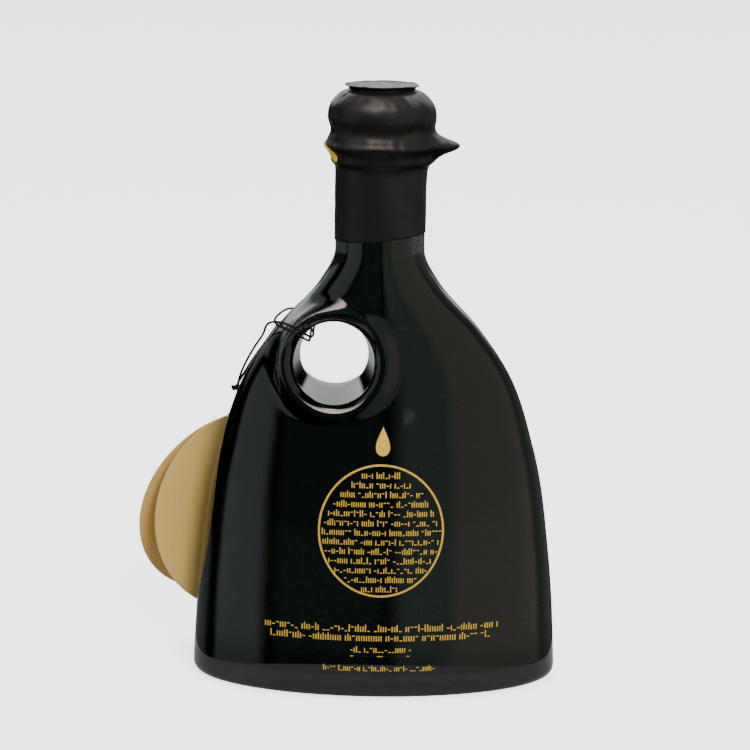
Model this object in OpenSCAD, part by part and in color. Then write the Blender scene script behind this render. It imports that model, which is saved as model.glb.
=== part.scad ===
// Flat bell-shaped bottle of dark glass with a finger hole, filled with oil, its pouring closure
// wrapped in a black seal, and a folded gold card that hangs behind it on a thin elastic cord.
// Millimetres, +Z up. The origin is the centre of the base, and the front faces -Y.

/* [Outline] */
// Width of the body at its base
base_w = 133.4; // [124:0.2:160]
// Depth of the body at its base
base_d = 71; // [64:0.5:86]
// Height of the flank section
flank_z = 45; // [36:1:54]
// Width of the flank section
flank_w = 127.3; // [118:0.1:146]
// Depth of the flank section
flank_d = 65.2; // [60:0.1:78]
// Height of the side section
side_z = 85; // [76:1:94]
// Width of the side section
side_w = 114.1; // [108:0.1:126]
// Depth of the side section
side_d = 53; // [48:0.1:62]
// Height of the shoulder section
shoulder_z = 115; // [106:1:122]
// Width of the shoulder section
shoulder_w = 92.2; // [88:0.1:108]
// Depth of the shoulder section
shoulder_d = 37.6; // [36:0.1:44]
// Height of the slope section
slope_z = 130; // [124:1:136]
// Width of the slope section
slope_w = 71.1; // [66:0.1:84]
// Depth of the slope section
slope_d = 33.8; // [32.6:0.1:38]
// Height of the throat section
throat_z = 146; // [140:1:150]
// Width of the throat section
throat_w = 43; // [38:0.1:50]
// Depth of the throat section
throat_d = 32.4; // [32:0.1:36]
// Height where the straight neck starts
neck_z = 158; // [154:1:166]
// Diameter of the neck
neck_d = 32.1; // [26.7:0.05:38]
// Height of the glass rim inside the closure
rim_z = 186; // [172:1:188]
// How much the sides lean in at the base, as run over rise
base_lean = 0.045; // [0:0.005:0.1]

/* [Glass] */
// Thickness of the glass wall
wall = 4; // [3:0.1:5.4]
// Thickness of the glass base
base_t = 6; // [4:0.5:10]
// Radius of the heel, where the sides meet the base
heel_r = 4; // [2:0.5:6]
// Radius of the heel inside
inner_heel_r = 9; // [4:0.5:12]

/* [Finger hole] */
// Distance of the hole to the left of the middle
hole_x = 15.9; // [12:0.1:20]
// Height of the hole's centre
hole_z = 119.2; // [112:0.1:122]
// Diameter of the hole at its narrowest, halfway through
hole_d = 24.6; // [19:0.1:26]
// Draft of the hole's wall, in degrees
hole_draft = 8; // [3:0.5:9]
// Radius of the rounded mouth of the hole
mouth_r = 4; // [2:0.25:4.5]
// Thickness of the glass wall round the hole
hole_wall = 5; // [3.5:0.25:6]
// Diameter of the raised collar round the hole
collar_d = 41; // [38:0.5:44]
// Thickness of the collar, from front to back
collar_t = 36.8; // [35:0.2:39]
// Radius of the collar's outer edge
collar_r = 3.5; // [2:0.25:4.5]
// How far the collar's faces lean back with the body, in degrees
collar_lean = 10; // [4:1:14]

/* [Oil] */
// Height of the oil's level
fill_z = 132; // [60:1:150]
// Clearance between the oil and the glass
oil_gap = 0.3; // [0.25:0.05:0.5]

/* [Closure] */
// Thickness of the seal's film
film = 0.35; // [0.2:0.05:0.8]
// Clearance between the seal and the neck
seal_gap = 0.05; // [0.02:0.01:0.1]
// Height of the seal's lower edge, at the middle
seal_z = 162.8; // [160:0.1:168]
// Tilt of the seal's lower edge, in degrees, with its right side up
seal_tilt = 5.5; // [0:0.5:6]
// How far the skirt under the flange stands out from the film on the neck
skirt_out = 1.75; // [1.2:0.05:2.6]
// How far the flange stands out from the film on the neck
flange_out = 3.65; // [3:0.05:5]
// How far the waist above the flange stands out from the film on the neck
waist_out = 1.9; // [1:0.05:2.6]
// How far the dome stands out from the film on the neck
dome_out = 3; // [2.2:0.05:4]
// How far the edge of the dome's flat top stands in from the film on the neck
crown_in = 3.95; // [3:0.05:5]
// Height of the skirt's middle above the glass rim
skirt_rise = 4.8; // [4.4:0.1:5.4]
// Height of the flange's edge above the glass rim
flange_rise = 9.3; // [9:0.1:10]
// Height of the waist above the glass rim
waist_rise = 14.7; // [14:0.1:16]
// Height of the dome's widest ring above the glass rim
dome_rise = 19.2; // [18.4:0.1:21]
// Height of the dome's flat top above the glass rim
crown_rise = 28.8; // [27:0.1:30]
// How far the pouring beak reaches past the flange
beak_out = 7; // [4:0.1:9]
// Radius of the beak where it leaves the flange
beak_root_r = 5.6; // [3:0.1:6]
// Radius of the beak's tip
beak_tip_r = 1; // [0.6:0.1:2]

/* [Top disc] */
// How far the recessed collar under the disc stands in from the edge of the flat top
disc_collar_in = 0.55; // [0.2:0.05:1.5]
// Height of the recessed collar
disc_collar_h = 1.3; // [0.5:0.1:3]
// How far the disc's flared rim reaches past its collar
disc_lip = 1.5; // [1.1:0.1:3]
// Thickness of the disc
disc_t = 0.5; // [0.3:0.1:1]
// Rise of the flared rim above the disc
disc_flare = 0.4; // [0.1:0.1:1]

/* [Tear tab] */
// Width of the tab, measured along its slant
tab_w = 3.6; // [2:0.1:6]
// Length of the tab round the closure, in degrees
tab_angle = 38; // [20:1:60]
// Slant of the tab, in degrees
tab_slant = 22; // [0:1:40]
// Thickness of the tab
tab_t = 0.3; // [0.2:0.05:0.6]
// Clearance between the tab and the seal
tab_gap = 0.1; // [0.05:0.05:0.2]

/* [Tag] */
// Radius of the round leaves
leaf_r = 37.6; // [31:0.1:46]
// How much of a leaf's top the fold cuts off
fold_cut = 0.6; // [0.2:0.1:4]
// Thickness of the card
card_t = 0.5; // [0.3:0.05:1]
// Radius that the leaves are bent to
bend_r = 600; // [150:10:1200]
// Angle between the two leaves, in degrees
tag_open = 16.4; // [8:0.1:16.4]
// Turn of the fold from the front plane, in degrees
tag_turn = 35.2; // [20:0.1:50]
// Height of the fold
fold_z = 90.8; // [80:0.1:94]
// Distance of the leaves' middle to the left of the bottle's middle, along the fold
tag_left = 26.2; // [22:0.1:36]
// Clearance between the front leaf and the bottle where it stands nearest
tag_gap = 1.5; // [0.3:0.05:2]
// Radius of the folded spine
spine_r = 0.8; // [0.5:0.1:1.5]
// Diameter of the punched hole
punch_d = 3; // [2:0.5:6]
// Distance of the punched hole below the fold
punch_drop = 4; // [3:0.5:8]

/* [Cord] */
// Diameter of the elastic cord
cord_d = 0.85; // [0.6:0.05:0.85]
// Radius of the knot that holds its ends
knot_r = 1.35; // [1:0.05:1.35]

/* [Hidden] */

sides = 40;             // facets round the body
cord_sides = 8;         // facets round the cord
turn_fn = 96;           // smoothness of turned pieces
outer_step = 6.5;       // height between sections outside
inner_step = 10;        // height between sections inside
arc_steps = 5;          // points in a small fillet
through = 1;            // how far a cut runs past the face it opens
closure_z = rim_z;      // the closure's own zero
collar_root = 14;       // how deep a half of the collar reaches into the body

// Sections of the outline: height, half width, half depth
sections = [
    [0, base_w / 2, base_d / 2],
    [flank_z, flank_w / 2, flank_d / 2],
    [side_z, side_w / 2, side_d / 2],
    [shoulder_z, shoulder_w / 2, shoulder_d / 2],
    [slope_z, slope_w / 2, slope_d / 2],
    [throat_z, throat_w / 2, throat_d / 2],
    [neck_z, neck_d / 2, neck_d / 2],
];
last = len(sections) - 1;

// Slope of column c at section i: the sides lean in at the base and stand straight at the neck
function slope(i, c) =
    i == 0 ? -base_lean :
    i == last ? 0 :
    let (h0 = sections[i][0] - sections[i - 1][0], h1 = sections[i + 1][0] - sections[i][0])
    ((sections[i][c] - sections[i - 1][c]) / h0 * h1 + (sections[i + 1][c] - sections[i][c]) / h1 * h0)
    / (h0 + h1);

// The section below height z
function below(z, i = last - 1) = i == 0 || sections[i][0] <= z ? i : below(z, i - 1);

// Half size of column c at height z, on a smooth curve through the sections
function half(c, z) =
    z >= neck_z ? neck_d / 2 :
    let (
        i = below(z),
        h = sections[i + 1][0] - sections[i][0],
        t = (z - sections[i][0]) / h
    )
    (2 * t ^ 3 - 3 * t ^ 2 + 1) * sections[i][c] + (t ^ 3 - 2 * t ^ 2 + t) * h * slope(i, c)
    + (3 * t ^ 2 - 2 * t ^ 3) * sections[i + 1][c] + (t ^ 3 - t ^ 2) * h * slope(i + 1, c);

// How far a rounded heel of radius r stands in at height h above its lowest point
function heel(h, r) = h >= r ? 0 : r - sqrt(r ^ 2 - (r - h) ^ 2);

// One elliptical ring at height z, set in from the outline
function ring(z, inset) = [
    for (i = [0 : sides - 1])
        let (a = 360 * i / sides)
        [(half(1, z) - inset) * cos(a), (half(2, z) - inset) * sin(a), z]
];

// Heights of the rings from low to high: close together in the heel, then a step apart
function heights(low, high, r, step) = concat(
    [for (i = [0 : arc_steps - 1]) low + r * (1 - cos(90 * i / arc_steps))],
    let (n = ceil((high - low - r) / step))
    [for (i = [0 : n]) low + r + (high - low - r) * i / n]
);

// A closed solid through rings that all have the same number of points
module loft(rings) {
    n = len(rings[0]);
    top = len(rings) - 1;
    points = [for (r = rings) each r];
    faces = concat(
        [[for (i = [0 : n - 1]) i]],
        [for (k = [0 : top - 1], i = [0 : n - 1])
            let (j = (i + 1) % n) each [
                [k * n + i, (k + 1) * n + i, k * n + j],
                [k * n + j, (k + 1) * n + i, (k + 1) * n + j]
            ]],
        [[for (i = [n - 1 : -1 : 0]) top * n + i]]
    );
    polyhedron(points, faces);
}

// The body's solid out to the outline, with its straight neck
module outer_form() {
    loft(concat(
        [for (z = heights(0, neck_z, heel_r, outer_step)) ring(z, heel(z, heel_r))],
        [ring(rim_z, 0)]
    ));
}

// The space inside the glass up to height top, shrunk by gap all round
module inner_form(top, gap) {
    low = base_t + gap;
    difference() {
        loft(concat(
            [for (z = heights(low, min(top, neck_z), inner_heel_r, inner_step))
                ring(z, wall + gap + heel(z - low, inner_heel_r))],
            top > neck_z ? [ring(top, wall + gap)] : []
        ));
        at_hole()
            cylinder(h = base_d, r = hole_d / 2 + hole_wall + gap, center = true, $fn = turn_fn);
    }
}

// Places a shape drawn along Z into the hole's axis, which runs from front to back
module at_hole() {
    translate([-hole_x, 0, hole_z]) rotate([90, 0, 0]) children();
}

// Points of a quarter fillet round centre c, from angle a by a quarter turn
function fillet(c, r, a, turn = 90) =
    [for (i = [0 : arc_steps]) c + r * [cos(a + turn * i / arc_steps), sin(a + turn * i / arc_steps)]];

// Places a shape at the middle of the collar's front face, with Z square to the face and outwards
module at_front_face() {
    translate([-hole_x, -collar_t / 2, hole_z]) rotate([90 - collar_lean, 0, 0]) children();
}

// Repeats a shape for the front and for the back
module front_and_back() {
    children();
    mirror([0, 1, 0]) children();
}

// Half of the collar: a disc with a rounded outer edge, whose face leans back with the body
module half_collar() {
    edge = collar_d / 2 - collar_r;
    rotate_extrude($fn = turn_fn)
        polygon(concat(
            [[0, -collar_root], [edge + collar_r, -collar_root]],
            fillet([edge, -collar_r], collar_r, 0),
            [[0, 0]]
        ));
}

// Half of the bore: narrowest in the middle plane and wider by its draft towards the face
module half_bore() {
    reach = base_d / 2;
    at_hole() cylinder(h = reach, r1 = hole_d / 2, r2 = hole_d / 2 + reach * tan(hole_draft), $fn = turn_fn);
}

// The rounded mouth of the bore, open outwards
module mouth_form() {
    start_r = (hole_d / 2 + (collar_t / 2 - mouth_r) * tan(hole_draft)) / cos(collar_lean);
    rotate_extrude($fn = turn_fn)
        polygon(concat(
            [[0, -mouth_r]],
            fillet([start_r + mouth_r, -mouth_r], mouth_r, 180, -90),
            [[start_r + mouth_r, base_d / 4], [0, base_d / 4]]
        ));
}

module bottle() {
    color([0.06, 0.07, 0.05])
        difference() {
            union() {
                outer_form();
                front_and_back() at_front_face() half_collar();
            }
            inner_form(rim_z + through, 0);
            front_and_back() half_bore();
            front_and_back() at_front_face() mouth_form();
        }
}

module oil() {
    color([0.45, 0.42, 0.08]) inner_form(fill_z, oil_gap);
}

// Radii of the closure and its disc, all from the neck that they fit
seal_r = neck_d / 2 + seal_gap + film;
skirt_r = seal_r + skirt_out;
flange_r = seal_r + flange_out;
waist_r = seal_r + waist_out;
dome_r = seal_r + dome_out;
crown_r = seal_r - crown_in;
disc_collar_r = crown_r - disc_collar_in;
disc_r = disc_collar_r + disc_lip;
beak_reach = flange_r + beak_out;

// Knots of the closure's profile above the glass rim: radius, height
closure_knots = [
    [seal_r, 0],
    [seal_r + 0.3, 2],
    [skirt_r - 0.3, skirt_rise - 1.2],
    [skirt_r, skirt_rise + 1],
    [skirt_r + 0.4, flange_rise - 2.2],
    [flange_r, flange_rise],
    [(flange_r + waist_r) / 2, (flange_rise + waist_rise) / 2 - 0.4],
    [waist_r, waist_rise],
    [dome_r, dome_rise],
    [dome_r - 0.9, dome_rise + 4.6],
    [crown_r + 2.7, crown_rise - 1.2],
    [crown_r, crown_rise],
];

// A smooth curve through knots, with n points to each stretch
function curve(knots, n) = concat(
    [for (i = [0 : len(knots) - 2], k = [0 : n - 1])
        let (
            p0 = knots[max(i - 1, 0)], p1 = knots[i], p2 = knots[i + 1],
            p3 = knots[min(i + 2, len(knots) - 1)], t = k / n
        )
        0.5 * (2 * p1 + (p2 - p0) * t + (2 * p0 - 5 * p1 + 4 * p2 - p3) * t ^ 2
            + (3 * p1 - p0 - 3 * p2 + p3) * t ^ 3)],
    [knots[len(knots) - 1]]
);
closure_curve = curve(closure_knots, 4);

// The seal's film round the neck and the closure that it wraps, which is solid above the rim
module seal() {
    low = seal_z - seal_r * tan(seal_tilt) - through;
    color([0.09, 0.085, 0.08])
        difference() {
            union() {
                translate([0, 0, low])
                    cylinder(h = closure_z - low, r = seal_r, $fn = turn_fn);
                translate([0, 0, closure_z])
                    rotate_extrude($fn = turn_fn)
                        polygon(concat([[0, 0]], closure_curve, [[0, crown_rise]]));
                translate([0, 0, closure_z + crown_rise - through])
                    cylinder(h = disc_collar_h + through, r = disc_collar_r, $fn = turn_fn);
                beak();
            }
            translate([0, 0, low - through])
                cylinder(h = rim_z + seal_gap - low + through, r = neck_d / 2 + seal_gap, $fn = turn_fn);
            translate([0, 0, seal_z])
                rotate([0, -seal_tilt, 0])
                    translate([0, 0, -seal_r]) cube([4 * seal_r, 4 * seal_r, 2 * seal_r], center = true);
        }
}

// The pouring beak: a cone that leaves the flange to the right and ends in a round tip
module beak() {
    root_x = waist_r - beak_root_r;
    translate([root_x, 0, closure_z + flange_rise])
        rotate([0, 90, 0])
            cylinder(
                h = beak_reach - beak_tip_r - root_x, r1 = beak_root_r, r2 = beak_tip_r, $fn = turn_fn / 2
            );
    translate([beak_reach - beak_tip_r, 0, closure_z + flange_rise])
        sphere(r = beak_tip_r, $fn = turn_fn / 2);
}

// The disc that tops the closure, with its flared rim
module top_disc() {
    flat_r = disc_r - 2 * disc_t;
    color([0.45, 0.5, 0.46])
        translate([0, 0, closure_z + crown_rise + disc_collar_h])
            rotate_extrude($fn = turn_fn)
                polygon([
                    [0, 0], [flat_r, 0], [disc_r, disc_flare], [disc_r, disc_flare + disc_t / 2],
                    [flat_r, disc_t], [0, disc_t]
                ]);
}

// The tear tab: a slanted strip that follows the skirt under the flange, at the left
module tear_tab() {
    strip = [for (p = closure_curve) if (p.y > skirt_rise - 2 && p.y < flange_rise) p];
    back = [for (p = strip) p + [tab_gap, 0]];
    face = [for (i = [len(strip) - 1 : -1 : 0]) strip[i] + [tab_gap + tab_t, 0]];
    color([0.9, 0.78, 0.2])
        intersection() {
            translate([0, 0, closure_z])
                rotate([0, 0, 180])
                    rotate_extrude(angle = tab_angle, $fn = turn_fn) polygon(concat(back, face));
            translate([0, 0, closure_z + (skirt_rise + flange_rise) / 2])
                rotate([0, 0, 180 + tab_angle / 2])
                    translate([skirt_r, 0, 0])
                        rotate([-tab_slant, 0, 0]) cube([2 * skirt_r, 4 * skirt_r, tab_w], center = true);
        }
}

// The cord's route: a loop through the card, then two turns through the hole and round the left
// shoulder, and back to where it started, where both ends are knotted
route = [
    [-51.5, 11, 104.5], [-51, 15.5, 98], [-49, 21.5, 92], [-49, 23.5, 88], [-50.5, 26, 86.5],
    [-52.5, 28, 88], [-52.5, 28, 92], [-51.5, 20, 99.5], [-51, 11, 106],
    [-49, 9.5, 112], [-45.5, 7, 119], [-42, 3, 125], [-40, -2, 130], [-36, -8.5, 132],
    [-31.5, -15, 132], [-27.5, -18, 130.5], [-24.5, -16.5, 128.5], [-23.5, -10, 127.5],
    [-23.5, 0, 127.5], [-23.5, 10, 127.5], [-24.5, 16, 128.5], [-28, 18, 131.5],
    [-33, 12.5, 133], [-36.5, 5, 132],
    [-37.5, -1, 131], [-36, -7.5, 130.5], [-32.4, -15.8, 130.8], [-28, -18.5, 129],
    [-25, -16.5, 127], [-24.5, -10, 126.5], [-24.5, 0, 126.5], [-24.5, 10, 126.5],
    [-25.5, 16.5, 127], [-30.3, 19.1, 128.7], [-35.8, 14.3, 127.7], [-41, 9.5, 121.5],
    [-46.5, 9.5, 113.5], [-51.5, 9.5, 105],
];
line = curve(route, 2);

// Unit vector along the cord's line at point i
function heading(i) =
    let (d = line[min(i + 1, len(line) - 1)] - line[max(i - 1, 0)]) d / norm(d);

// A side direction for each point of the line, carried along it so that the tube doesn't twist
side_vectors = [
    for (
        i = 0, u = cross(heading(0), [1, 0, 0]);
        i < len(line);
        i = i + 1, u = i < len(line) ? u - (u * heading(i)) * heading(i) : u
    ) u / norm(u)
];

// One ring of the cord at point i, square to its heading
function cord_ring(i) =
    let (u = side_vectors[i], v = cross(heading(i), u))
    [for (k = [0 : cord_sides - 1])
        let (a = 360 * k / cord_sides) line[i] + cord_d / 2 * (u * cos(a) + v * sin(a))];

module cord() {
    color([0.05, 0.05, 0.05]) loft([for (i = [0 : len(line) - 1]) cord_ring(i)]);
}

// The knot, where the cord's line ends, beside the strand that it starts with
module knot() {
    end = len(line) - 1;
    color([0.05, 0.05, 0.05])
        translate(line[end] + knot_r * heading(end)) sphere(r = knot_r, $fn = 48);
}

// The card hangs with its fold turned, and its front leaf clears the bottle's widest part beside it
fold_up = leaf_r - fold_cut;
leaf_z = fold_z - fold_up;
outward = [-sin(tag_turn), cos(tag_turn), 0];
along = [cos(tag_turn), sin(tag_turn), 0];
function reach(z) = norm([half(1, z) * outward.x, half(2, z) * outward.y]);
tag_centre = (reach(max(leaf_z - leaf_r, 0)) + tag_gap) * outward - tag_left * along + [0, 0, leaf_z];

// One round leaf of the card, bent about an upright axis, with its centre at the origin
module leaf() {
    difference() {
        intersection() {
            rotate([90, 0, 0]) cylinder(h = leaf_r, r = leaf_r, center = true, $fn = turn_fn);
            translate([0, bend_r, -leaf_r])
                difference() {
                    cylinder(h = leaf_r + fold_up, r = bend_r, $fn = 4 * turn_fn);
                    translate([0, 0, -through])
                        cylinder(h = leaf_r + fold_up + 2 * through, r = bend_r - card_t, $fn = 4 * turn_fn);
                }
            translate([-leaf_r, -leaf_r, -leaf_r]) cube([2 * leaf_r, 2 * leaf_r, leaf_r + fold_up]);
        }
        translate([0, 0, fold_up - punch_drop])
            rotate([90, 0, 0]) cylinder(h = leaf_r, d = punch_d, center = true, $fn = 32);
    }
}

// Two leaves, the back one swung open about the fold, and the rounded spine that joins them
module tag() {
    spine_l = 2 * sqrt(leaf_r ^ 2 - fold_up ^ 2);
    color([0.72, 0.6, 0.36])
        translate(tag_centre)
            rotate([0, 0, tag_turn]) {
                leaf();
                translate([0, 0, fold_up])
                    rotate([tag_open, 0, 0]) translate([0, 0, -fold_up]) leaf();
                translate([0, card_t / 2, fold_up])
                    rotate([0, 90, 0]) cylinder(h = spine_l, r = spine_r, center = true, $fn = 32);
            }
}

bottle();
oil();
seal();
top_disc();
tear_tab();
cord();
knot();
tag();
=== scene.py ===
"""Looks of a flat bell-shaped bottle of dark glass, with oil, a sealed closure and a gold card.

Everything is in metres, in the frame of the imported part: +Z up, the front facing -Y, and the
origin at the centre of the base. Angles round the bottle are in degrees, from +X towards +Y.
"""

from __future__ import annotations

import logging
import math
from collections.abc import Callable, Mapping, Sequence
from dataclasses import dataclass
from enum import Enum

import bpy
import numpy as np
from mathutils import Matrix, Vector

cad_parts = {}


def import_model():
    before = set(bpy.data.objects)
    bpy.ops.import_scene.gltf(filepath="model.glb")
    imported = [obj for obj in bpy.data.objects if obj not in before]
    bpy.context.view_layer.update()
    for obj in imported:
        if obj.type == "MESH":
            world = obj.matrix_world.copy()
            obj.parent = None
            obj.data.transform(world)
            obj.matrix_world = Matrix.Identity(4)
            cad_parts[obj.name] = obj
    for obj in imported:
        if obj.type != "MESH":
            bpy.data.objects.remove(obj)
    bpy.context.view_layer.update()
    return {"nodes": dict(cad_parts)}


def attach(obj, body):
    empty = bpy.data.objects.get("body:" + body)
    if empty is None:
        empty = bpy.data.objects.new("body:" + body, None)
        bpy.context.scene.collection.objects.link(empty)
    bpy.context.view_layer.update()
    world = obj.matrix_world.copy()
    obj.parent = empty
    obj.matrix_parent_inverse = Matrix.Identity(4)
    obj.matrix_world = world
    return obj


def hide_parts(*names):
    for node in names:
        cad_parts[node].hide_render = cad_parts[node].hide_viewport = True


LOG = logging.getLogger("bottle")
ROOT = "root"

Array = np.ndarray
Field = Callable[[Array], Array]
Colour = tuple[float, float, float]


# ---------------------------------------------------------------------------------------------
# Shader graphs
# ---------------------------------------------------------------------------------------------


class Operation(Enum):
    """Sums that Math, Vector Math and Mix nodes share by name."""

    ADD = "ADD"
    SUBTRACT = "SUBTRACT"
    MULTIPLY = "MULTIPLY"


@dataclass(frozen=True)
class Wire:
    """One output socket of a graph. Arithmetic on it adds the nodes that work it out."""

    graph: Graph
    socket: bpy.types.NodeSocket

    def _join(self, operation: Operation, first: Value, second: Value) -> Wire:
        """Adds the node that joins two values, of the kind that suits this wire.

        Args:
            operation: The sum to do.
            first: The left side.
            second: The right side.

        Returns:
            The result.
        """
        if self.socket.type == "RGBA":
            settings = {"data_type": "RGBA", "blend_type": operation.value}
            return self.graph.node("ShaderNodeMix", settings, {0: 1.0, 6: first, 7: second}, 2)
        kind = "ShaderNodeVectorMath" if self.socket.type == "VECTOR" else "ShaderNodeMath"
        return self.graph.node(kind, {"operation": operation.value}, {0: first, 1: second})

    def __add__(self, other: Value) -> Wire:
        """Adds."""
        return self._join(Operation.ADD, self, other)

    def __radd__(self, other: Value) -> Wire:
        """Adds, from the right."""
        return self._join(Operation.ADD, other, self)

    def __sub__(self, other: Value) -> Wire:
        """Takes away."""
        return self._join(Operation.SUBTRACT, self, other)

    def __rsub__(self, other: Value) -> Wire:
        """Takes away from something else."""
        return self._join(Operation.SUBTRACT, other, self)

    def __mul__(self, other: Value) -> Wire:
        """Multiplies."""
        return self._join(Operation.MULTIPLY, self, other)

    def __rmul__(self, other: Value) -> Wire:
        """Multiplies, from the right."""
        return self._join(Operation.MULTIPLY, other, self)

    def between(self, low: float, high: float) -> Wire:
        """Ramps smoothly from 0 at low to 1 at high.

        Args:
            low: The value that gives 0.
            high: The value that gives 1.

        Returns:
            The ramped value.
        """
        settings = {"interpolation_type": "SMOOTHSTEP"}
        inputs = {"Value": self, "From Min": low, "From Max": high}
        return self.graph.node("ShaderNodeMapRange", settings, inputs)

    def mix(self, first: Wire | Colour, second: Wire | Colour) -> Wire:
        """Mixes two colours, with this wire as the share of the second.

        Args:
            first: The colour at 0.
            second: The colour at 1.

        Returns:
            The mixed colour.
        """
        sides = [side if isinstance(side, Wire) else (*side, 1.0) for side in (first, second)]
        inputs = {0: self, 6: sides[0], 7: sides[1]}
        return self.graph.node("ShaderNodeMix", {"data_type": "RGBA"}, inputs, 2)


Value = Wire | float | tuple[float, ...]


class Graph:
    """The node tree of one material, filled by short calls."""

    def __init__(self, name: str) -> None:
        """Makes an empty material.

        Args:
            name: The material's name.
        """
        self.material = bpy.data.materials.new(name)
        self.material.use_nodes = True
        self.tree = self.material.node_tree
        self.tree.nodes.clear()

    def node(
        self,
        kind: str,
        settings: Mapping[str, object] | None = None,
        inputs: Mapping[str | int, Value] | None = None,
        output: int | str = 0,
    ) -> Wire:
        """Adds one node.

        Args:
            kind: The node's type.
            settings: Its settings, which are set before its inputs.
            inputs: A value or a wire for each input, by its name or its place.
            output: The output that is wanted.

        Returns:
            That output.
        """
        node = self.tree.nodes.new(kind)
        for key, setting in (settings or {}).items():
            setattr(node, key, setting)
        for key, value in (inputs or {}).items():
            if isinstance(value, Wire):
                self.tree.links.new(value.socket, node.inputs[key])
            else:
                node.inputs[key].default_value = value
        return Wire(self, node.outputs[output])

    def place(self) -> Wire:
        """Gives the place on the piece, in metres."""
        return self.node("ShaderNodeTexCoord", output="Object")

    def from_axis(self) -> Wire:
        """Gives the distance of the place from the upright axis, in metres."""
        flat = self.place() * (1.0, 1.0, 0.0)
        return self.node("ShaderNodeVectorMath", {"operation": "LENGTH"}, {0: flat}, "Value")

    def noise(self, scale: float, detail: float = 3.0, stretch: Colour = (1.0, 1.0, 1.0)) -> Wire:
        """Gives smooth noise from about 0.2 to 0.8.

        Args:
            scale: Lumps in a metre.
            detail: Octaves of finer noise.
            stretch: Extra scale along each axis.

        Returns:
            The noise's value.
        """
        where = self.place() * stretch
        inputs = {"Vector": where, "Scale": scale, "Detail": detail}
        return self.node("ShaderNodeTexNoise", inputs=inputs)

    def bump(self, height: Wire, distance: float, strength: float = 1.0) -> Wire:
        """Turns a height into a normal.

        Args:
            height: The height, from 0 to 1.
            distance: What a height of 1 is, in metres.
            strength: How much of it is used.

        Returns:
            The normal.
        """
        inputs = {"Height": height, "Distance": distance, "Strength": strength}
        return self.node("ShaderNodeBump", inputs=inputs)

    def finish(self, inputs: Mapping[str | int, Value]) -> bpy.types.Material:
        """Ends the graph with a Principled shader.

        Args:
            inputs: The shader's inputs.

        Returns:
            The finished material.
        """
        return self.surface(self.node("ShaderNodeBsdfPrincipled", inputs=inputs))

    def surface(self, shader: Wire) -> bpy.types.Material:
        """Ends the graph with any shader.

        Args:
            shader: The shader.

        Returns:
            The finished material.
        """
        output = self.tree.nodes.new("ShaderNodeOutputMaterial")
        self.tree.links.new(shader.socket, output.inputs["Surface"])
        return self.material


@dataclass(frozen=True)
class DarkGlass:
    """Nearly black glass with faint handling marks and a little dust."""

    tint: Colour = (0.0115, 0.0135, 0.0130)
    index: float = 1.5
    clean: float = 0.012
    smudged: float = 0.07
    dusty: float = 0.45

    def material(self) -> bpy.types.Material:
        """Builds the glass.

        Returns:
            The glass.
        """
        graph = Graph("dark_glass")
        smudge = graph.noise(38.0, 4.0).between(0.52, 0.78)
        dust = graph.noise(1300.0, 1.0).between(0.77, 0.82)
        ripple = graph.noise(21.0, 1.0, (1.0, 1.0, 0.5))
        return graph.finish({
            "Base Color": (*self.tint, 1.0),
            "Transmission Weight": 1.0,
            "IOR": self.index,
            "Roughness": smudge * (self.smudged - self.clean) + dust * self.dusty + self.clean,
            "Normal": graph.bump(ripple, 0.0006, 0.12),
        })


@dataclass(frozen=True)
class Oil:
    """Clear green-gold oil."""

    tint: Colour = (0.55, 0.5, 0.1)
    index: float = 1.47

    def material(self) -> bpy.types.Material:
        """Builds the oil.

        Returns:
            The oil.
        """
        graph = Graph("oil")
        cloud = graph.noise(30.0).mix(self.tint, tuple(0.92 * c for c in self.tint))
        return graph.finish({
            "Base Color": cloud,
            "Transmission Weight": 1.0,
            "IOR": self.index,
            "Roughness": 0.02,
        })


@dataclass(frozen=True)
class Film:
    """Black shrink film: satin, with fine creases and rubbed spots."""

    dark: Colour = (0.004, 0.004, 0.004)
    warm: Colour = (0.009, 0.0078, 0.007)
    dull: float = 0.46
    shiny: float = 0.34

    def material(self) -> bpy.types.Material:
        """Builds the film.

        Returns:
            The film.
        """
        graph = Graph("black_film")
        crease = graph.noise(420.0, 3.0, (1.0, 1.0, 0.35))
        patch = graph.noise(70.0, 2.0).between(0.35, 0.7)
        return graph.finish({
            "Base Color": patch.mix(self.dark, self.warm),
            "Roughness": patch * (self.shiny - self.dull) + self.dull,
            "Specular IOR Level": 0.32,
            "Normal": graph.bump(crease, 0.0002, 0.35),
        })


@dataclass(frozen=True)
class MouldedPlastic:
    """Moulded plastic with a little wear. Beyond its edge, a distance from the axis, it is black."""

    name: str
    light: Colour
    dark: Colour
    roughness: float
    grain: float
    shine: float = 0.25
    edge: float = 1.0
    black: Colour = (0.006, 0.006, 0.006)

    def material(self) -> bpy.types.Material:
        """Builds the plastic, which turns black beyond its edge.

        Returns:
            The plastic.
        """
        graph = Graph(self.name)
        wear = graph.noise(self.grain, 4.0).between(0.35, 0.72)
        ragged = graph.from_axis() + wear * 0.0006
        face = wear.mix(self.light, self.dark)
        return graph.finish({
            "Base Color": ragged.between(self.edge, self.edge + 0.0004).mix(face, self.black),
            "Roughness": wear * 0.15 + self.roughness,
            "Specular IOR Level": self.shine,
            "Normal": graph.bump(wear, 0.0002, 0.3),
        })


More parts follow.
